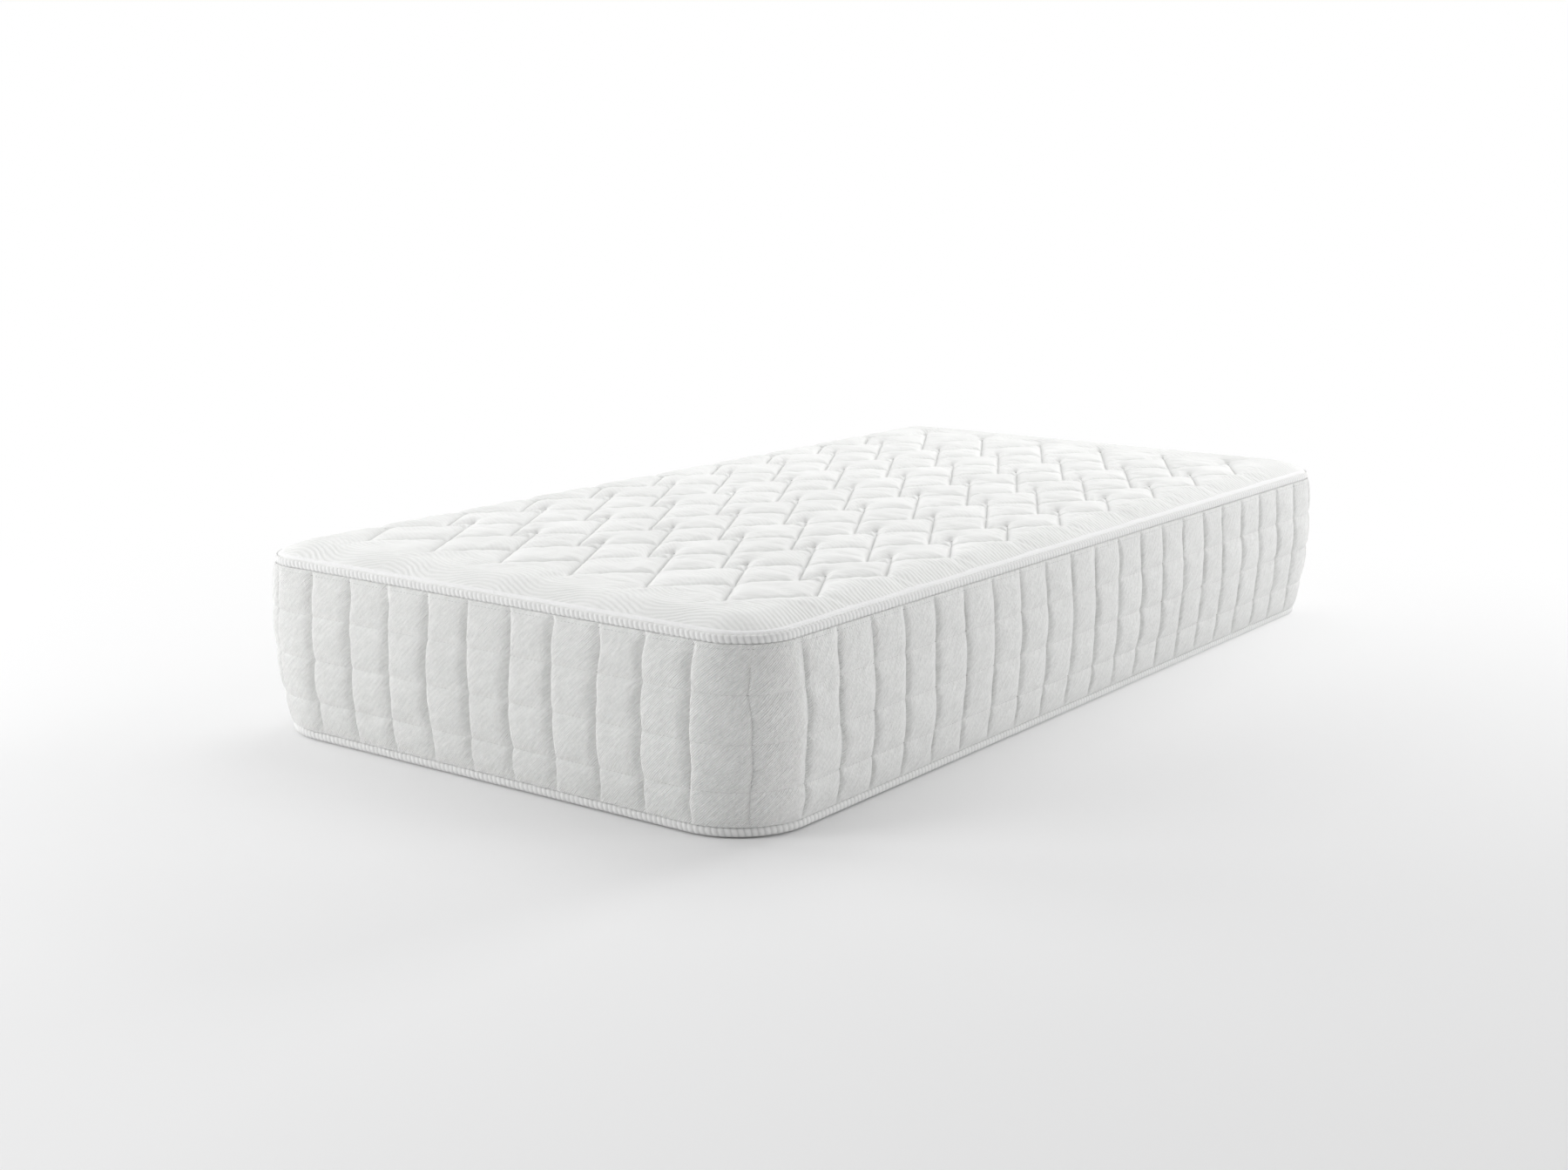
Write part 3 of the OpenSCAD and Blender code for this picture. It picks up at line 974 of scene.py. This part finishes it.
def bandCloth(settings):
    # diagonal twill that follows the cloth map, with streaks
    material, tree, shader = newMaterial("bandCloth", settings["light"], roughness=0.9, sheen=0.1)
    clothMap = tree.nodes.new("ShaderNodeUVMap")
    clothMap.uv_map = "clothMap"
    across, up = xAndY(tree, clothMap.outputs[0])
    place = coordinates(tree)
    lean = total(tree, calculate(tree, "SUBTRACT", across, up),
                 (noiseOf(tree, place, settings["warpScale"]), settings["warp"]))
    twill = waves(tree, lean, settings["twillPitch"])
    stretch = tree.nodes.new("ShaderNodeMapping")
    stretch.vector_type = "TEXTURE"
    stretch.inputs["Rotation"].default_value = (0, 0, math.radians(settings["lean"]))
    stretch.inputs["Scale"].default_value = (*settings["streak"], 1)
    tree.links.new(clothMap.outputs[0], stretch.inputs["Vector"])
    streak = noiseOf(tree, stretch.outputs[0], 1.0)
    yarn = noiseOf(tree, place, settings["yarnScale"])
    grain = noiseOf(tree, place, settings["grain"])
    height = total(tree, grain, (twill, settings["twillDepth"]),
                   (streak, settings["streakDepth"]), (yarn, settings["yarnDepth"]))
    bumpFrom(tree, shader, height, settings["depth"])
    patch = noiseOf(tree, place, settings["patchScale"], detail=3)
    evenGrain = calculate(tree, "SUBTRACT", grain, 0.5)
    tone = total(tree, streak, (patch, settings["patchTone"]), (twill, settings["twillTone"]),
                 (evenGrain, settings["grainTone"]))
    tint(tree, shader, tone, settings["dark"], settings["light"])
    return material


tapeFabric = {
    # painted shade: the gaps between the ribs are coloured darker than the crests
    "shadedGap": (0.67, 0.672, 0.665), "crest": (0.85, 0.852, 0.845),
    "yarnScale": 1500, "yarnTone": 0.25, "depth": 0.0002,
}


def tapeWeave(settings):
    # pale ribs, with painted shade in the gaps between them
    material, tree, shader = newMaterial("tapeWeave", settings["crest"], roughness=0.85, sheen=0.1)
    crest = tree.nodes.new("ShaderNodeAttribute")
    crest.attribute_name = "ribCrestShadeMask"
    yarn = noiseOf(tree, coordinates(tree), settings["yarnScale"])
    tone = total(tree, crest.outputs["Fac"], (yarn, settings["yarnTone"]))
    tint(tree, shader, tone, settings["shadedGap"], settings["crest"])
    bumpFrom(tree, shader, yarn, settings["depth"])
    return material


fibre = {"patchSize": 60, "fineTone": 0.5, "patchTone": 0.5}


def plainFabric(name, dark, light, scale, depth, detail=3.0):
    # loose fibres, with much broader patches
    material, tree, shader = newMaterial(name, light, roughness=0.9, sheen=0.05)
    place = coordinates(tree)
    fine = noiseOf(tree, place, scale, detail)
    patch = noiseOf(tree, place, scale / fibre["patchSize"])
    tone = total(tree, 0, (fine, fibre["fineTone"]), (patch, fibre["patchTone"]))
    tint(tree, shader, tone, dark, light)
    bumpFrom(tree, shader, fine, depth)
    return material


weave = {"fuzzScale": 700, "yarnDepth": 0.3, "patchScale": 12, "yarnTone": 0.12}


def wovenFabric(name, dark, light, pitch, depth):
    # plain weave: over and under along both directions
    material, tree, shader = newMaterial(name, light, roughness=0.88, sheen=0.05)
    place = coordinates(tree)
    across, along = xAndY(tree, place)
    yarn = calculate(tree, "MULTIPLY", waves(tree, across, pitch), waves(tree, along, pitch))
    fuzz = noiseOf(tree, place, weave["fuzzScale"])
    bumpFrom(tree, shader, total(tree, fuzz, (yarn, weave["yarnDepth"])), depth)
    patch = noiseOf(tree, place, weave["patchScale"], detail=3)
    tint(tree, shader, total(tree, patch, (yarn, weave["yarnTone"])), dark, light)
    return material


foam = {"wallDepth": 0.4, "wallTone": 0.4, "patchScale": 5, "patchTone": 0.7}


def foamMaterial(name, dark, light, cell):
    # open cells of foam
    material, tree, shader = newMaterial(name, light, roughness=0.85)
    place = coordinates(tree)
    cells = tree.nodes.new("ShaderNodeTexVoronoi")
    cells.inputs["Scale"].default_value = 1 / cell
    tree.links.new(place, cells.inputs["Vector"])
    walls = cells.outputs["Distance"]
    bumpFrom(tree, shader, walls, cell * foam["wallDepth"])
    patch = noiseOf(tree, place, foam["patchScale"], detail=3)
    tone = total(tree, 0, (walls, foam["wallTone"]), (patch, foam["patchTone"]))
    tint(tree, shader, tone, dark, light)
    return material


# the pieces, from the top down
quiltLines = stitchLines(topPanel)
quiltedTop = makeQuiltedTop(topPanel, quiltLines)
pleatedBand = makeBand(band)
upperThickness, lowerThickness = tape["thickness"]
topTape = makeTape("topTape", topSeam, topTapeBox[0].z - tape["overlap"],
                   topTapeBox[1].z - tape["cutDown"], upperThickness, tape)
bottomTape = makeTape("bottomTape", bottomSeam, bottomTapeBox[0].z + tape["lift"],
                      bottomTapeBox[1].z + tape["overlap"], lowerThickness, tape)
underPiece = makeUnderPanel(underPanel)
rowZ = rowHeights(band)[0] + [bandHigh - thread["underTape"]]
rowThread = sewStitches("rowThread", bandStitches(pleatedBand, rowZ, thread), thread)
quiltThread = sewStitches("quiltThread", quiltStitches(quiltedTop, quiltLines, thread), thread)

knitMaterial = topKnit(knit)
bandMaterial = bandCloth(bandFabric)
tapeMaterial = tapeWeave(tapeFabric)
# the thread's darkness is partly painted shade of the stitch dimples
threadMaterial = plainFabric("threadTwist", thread["dark"], thread["light"],
                             thread["twistScale"], thread["twistDepth"])
# the under panel's grey is partly painted shade under the lower tape
underMaterial = wovenFabric("underWeaveShadeGrey", underPanel["dark"], underPanel["light"],
                            underPanel["weavePitch"], underPanel["weaveDepth"])
for piece, material in (
    (quiltedTop, knitMaterial), (pleatedBand, bandMaterial), (topTape, tapeMaterial),
    (bottomTape, tapeMaterial), (underPiece, underMaterial), (rowThread, threadMaterial),
    (quiltThread, threadMaterial),
):
    piece.data.materials.append(material)

handOver(quiltedTop, ["top_ticking"])
handOver(pleatedBand, ["band_ticking"])
handOver(topTape, ["top_binding_tape"])
handOver(bottomTape, ["bottom_binding_tape"])
handOver(underPiece, ["bottom_ticking"])
handOver(rowThread)
handOver(quiltThread)

# the layers inside keep the frame's shapes
woolly = plainFabric("waddingFibre", (0.86, 0.86, 0.86), (0.96, 0.96, 0.96), 350, 0.0015,
                     detail=6)
scrim = wovenFabric("backingWeave", (0.68, 0.71, 0.73), (0.80, 0.82, 0.84), 0.0016, 0.0002)
innerMaterials = {
    "top_wadding": woolly,
    "band_wadding": woolly,
    "bottom_wadding": woolly,
    "top_backing": scrim,
    "band_backing": scrim,
    "bottom_backing": scrim,
    "top_quilt_foam": foamMaterial("quiltFoamCells", (0.86, 0.82, 0.70),
                                   (0.93, 0.90, 0.81), 0.0016),
    "memory_foam": foamMaterial("memoryFoamCells", (0.86, 0.76, 0.44),
                                (0.93, 0.86, 0.58), 0.0009),
    "transition_foam": foamMaterial("transitionFoamCells", (0.66, 0.74, 0.77),
                                    (0.78, 0.85, 0.87), 0.0014),
    "support_core": foamMaterial("supportFoamCells", (0.80, 0.76, 0.66),
                                 (0.90, 0.87, 0.78), 0.0022),
}
for nodeName, material in innerMaterials.items():
    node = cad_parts[nodeName]
    node.data.materials.clear()
    node.data.materials.append(material)
print("fabrics done")

view = {
    "place": (2.0103, -2.9652, 0.8859),
    "lens": 47.24,
    "sensor": 36,
    "farthest": 60,
    "yaw": 0.6301,
    "pitch": 0.2063,
    "roll": 0.0056,
}


def makeCamera(settings):
    camera = bpy.data.objects.new("camera", bpy.data.cameras.new("camera"))
    scene.collection.objects.link(camera)
    camera.data.lens = settings["lens"]
    camera.data.sensor_width = settings["sensor"]
    camera.data.clip_end = settings["farthest"]
    turned = Euler((math.pi / 2 - settings["pitch"], 0, settings["yaw"])).to_matrix()
    turned = turned @ Matrix.Rotation(settings["roll"], 3, "Z")
    camera.matrix_world = Matrix.Translation(settings["place"]) @ turned.to_4x4()
    scene.camera = camera


studio = {
    "floorSize": 40,
    "floorColour": (0.84, 0.84, 0.842),
    "floorPatch": 0.985,      # its darker patches
    "patchScale": 1.3,
    "fadeStart": -1.2,        # where the floor starts to fade to white, away from the view
    "fadeEnd": 1.3,
    "rimStart": 2.7,          # and all round, from the middle
    "rimEnd": 5.5,
    "world": 0.61,
    "worldFront": 0.0,        # the world is dark beyond the near corner
    "frontYaw": 0.30,
    "frontStart": 0.35,
    "frontEnd": 0.95,
    "lamps": {
        # name: place, aim, size, watts
        "left": ((-3.4, -1.4, 1.5), (0, -0.4, 0.15), 1.8, 33),
        "frontLeft": ((-1.8, -3.6, 1.5), (0, -0.5, 0.15), 1.8, 59),
        "right": ((4.0, 1.1, 0.9), (0.4, 0, 0.15), 1.6, 40),
        "back": ((1.2, 4.4, 1.7), (0.1, 0.2, 0.2), 1.6, 85),
        "over": ((-0.6, 1.2, 3.4), (0, 0.2, 0.2), 2.4, 31),
    },
}


def showsBackground(tree):
    # 1 for what the camera sees, straight or in a shiny or clear surface
    path = tree.nodes.new("ShaderNodeLightPath")
    seen = calculate(tree, "MAXIMUM", path.outputs["Is Camera Ray"],
                     path.outputs["Is Glossy Ray"])
    return calculate(tree, "MAXIMUM", seen, path.outputs["Is Transmission Ray"])


def alongYaw(tree, vector, yaw):
    # distance along the floor in the direction that a yaw faces
    x, y = xAndY(tree, vector)
    return total(tree, 0, (x, -math.sin(yaw)), (y, math.cos(yaw)))


def mixShaders(tree, share, lit, white, kind):
    mix = tree.nodes.new("ShaderNodeMixShader")
    tree.links.new(share, mix.inputs["Fac"])
    tree.links.new(lit.outputs[0], mix.inputs[1])
    tree.links.new(white.outputs[0], mix.inputs[2])
    tree.links.new(mix.outputs[0], tree.nodes.new(kind).inputs["Surface"])


def makeFloor(settings):
    deselectAll()
    bpy.ops.mesh.primitive_plane_add(size=settings["floorSize"])
    floor = newest("floor")
    material = bpy.data.materials.new("studioFloor")
    material.use_nodes = True
    tree = material.node_tree
    tree.nodes.clear()
    place = coordinates(tree)
    paper = tree.nodes.new("ShaderNodeBsdfDiffuse")
    colour = settings["floorColour"]
    patch = [c * settings["floorPatch"] for c in colour]
    grain = noiseOf(tree, place, settings["patchScale"], detail=3)
    tree.links.new(blendColours(tree, grain, patch, colour), paper.inputs["Color"])
    away = fade(tree, alongYaw(tree, place, view["yaw"]), settings["fadeStart"],
                settings["fadeEnd"], smooth=True)
    distance = tree.nodes.new("ShaderNodeVectorMath")
    distance.operation = "LENGTH"
    tree.links.new(place, distance.inputs[0])
    rim = fade(tree, distance.outputs["Value"], settings["rimStart"], settings["rimEnd"])
    whiteness = calculate(tree, "MULTIPLY", calculate(tree, "MAXIMUM", away, rim),
                          showsBackground(tree))
    white = tree.nodes.new("ShaderNodeEmission")
    mixShaders(tree, whiteness, paper, white, "ShaderNodeOutputMaterial")
    floor.data.materials.append(material)


def makeWorld(settings):
    world = bpy.data.worlds.new("studio")
    scene.world = world
    world.use_nodes = True
    tree = world.node_tree
    tree.nodes.clear()
    away = alongYaw(tree, coordinates(tree, "Generated"), settings["frontYaw"])
    front = calculate(tree, "MULTIPLY", away, -1.0)
    strength = fade(tree, front, settings["frontStart"], settings["frontEnd"],
                    settings["world"], settings["worldFront"], smooth=True)
    lit, white = (tree.nodes.new("ShaderNodeBackground") for _ in range(2))
    for background in (lit, white):
        background.inputs["Color"].default_value = (1, 1, 1, 1)
    tree.links.new(strength, lit.inputs["Strength"])
    mixShaders(tree, showsBackground(tree), lit, white, "ShaderNodeOutputWorld")


def makeLamps(settings):
    for name, (place, aim, size, watts) in settings["lamps"].items():
        data = bpy.data.lights.new(name, "AREA")
        data.shape = "SQUARE"
        data.size = size
        data.energy = watts
        lamp = bpy.data.objects.new(name, data)
        scene.collection.objects.link(lamp)
        lamp.location = place
        lamp.rotation_euler = (Vector(aim) - Vector(place)).to_track_quat("-Z", "Y").to_euler()


makeCamera(view)
makeFloor(studio)
makeWorld(studio)
makeLamps(studio)
scene.view_settings.view_transform = "Standard"
print("camera, floor, world and lamps done")
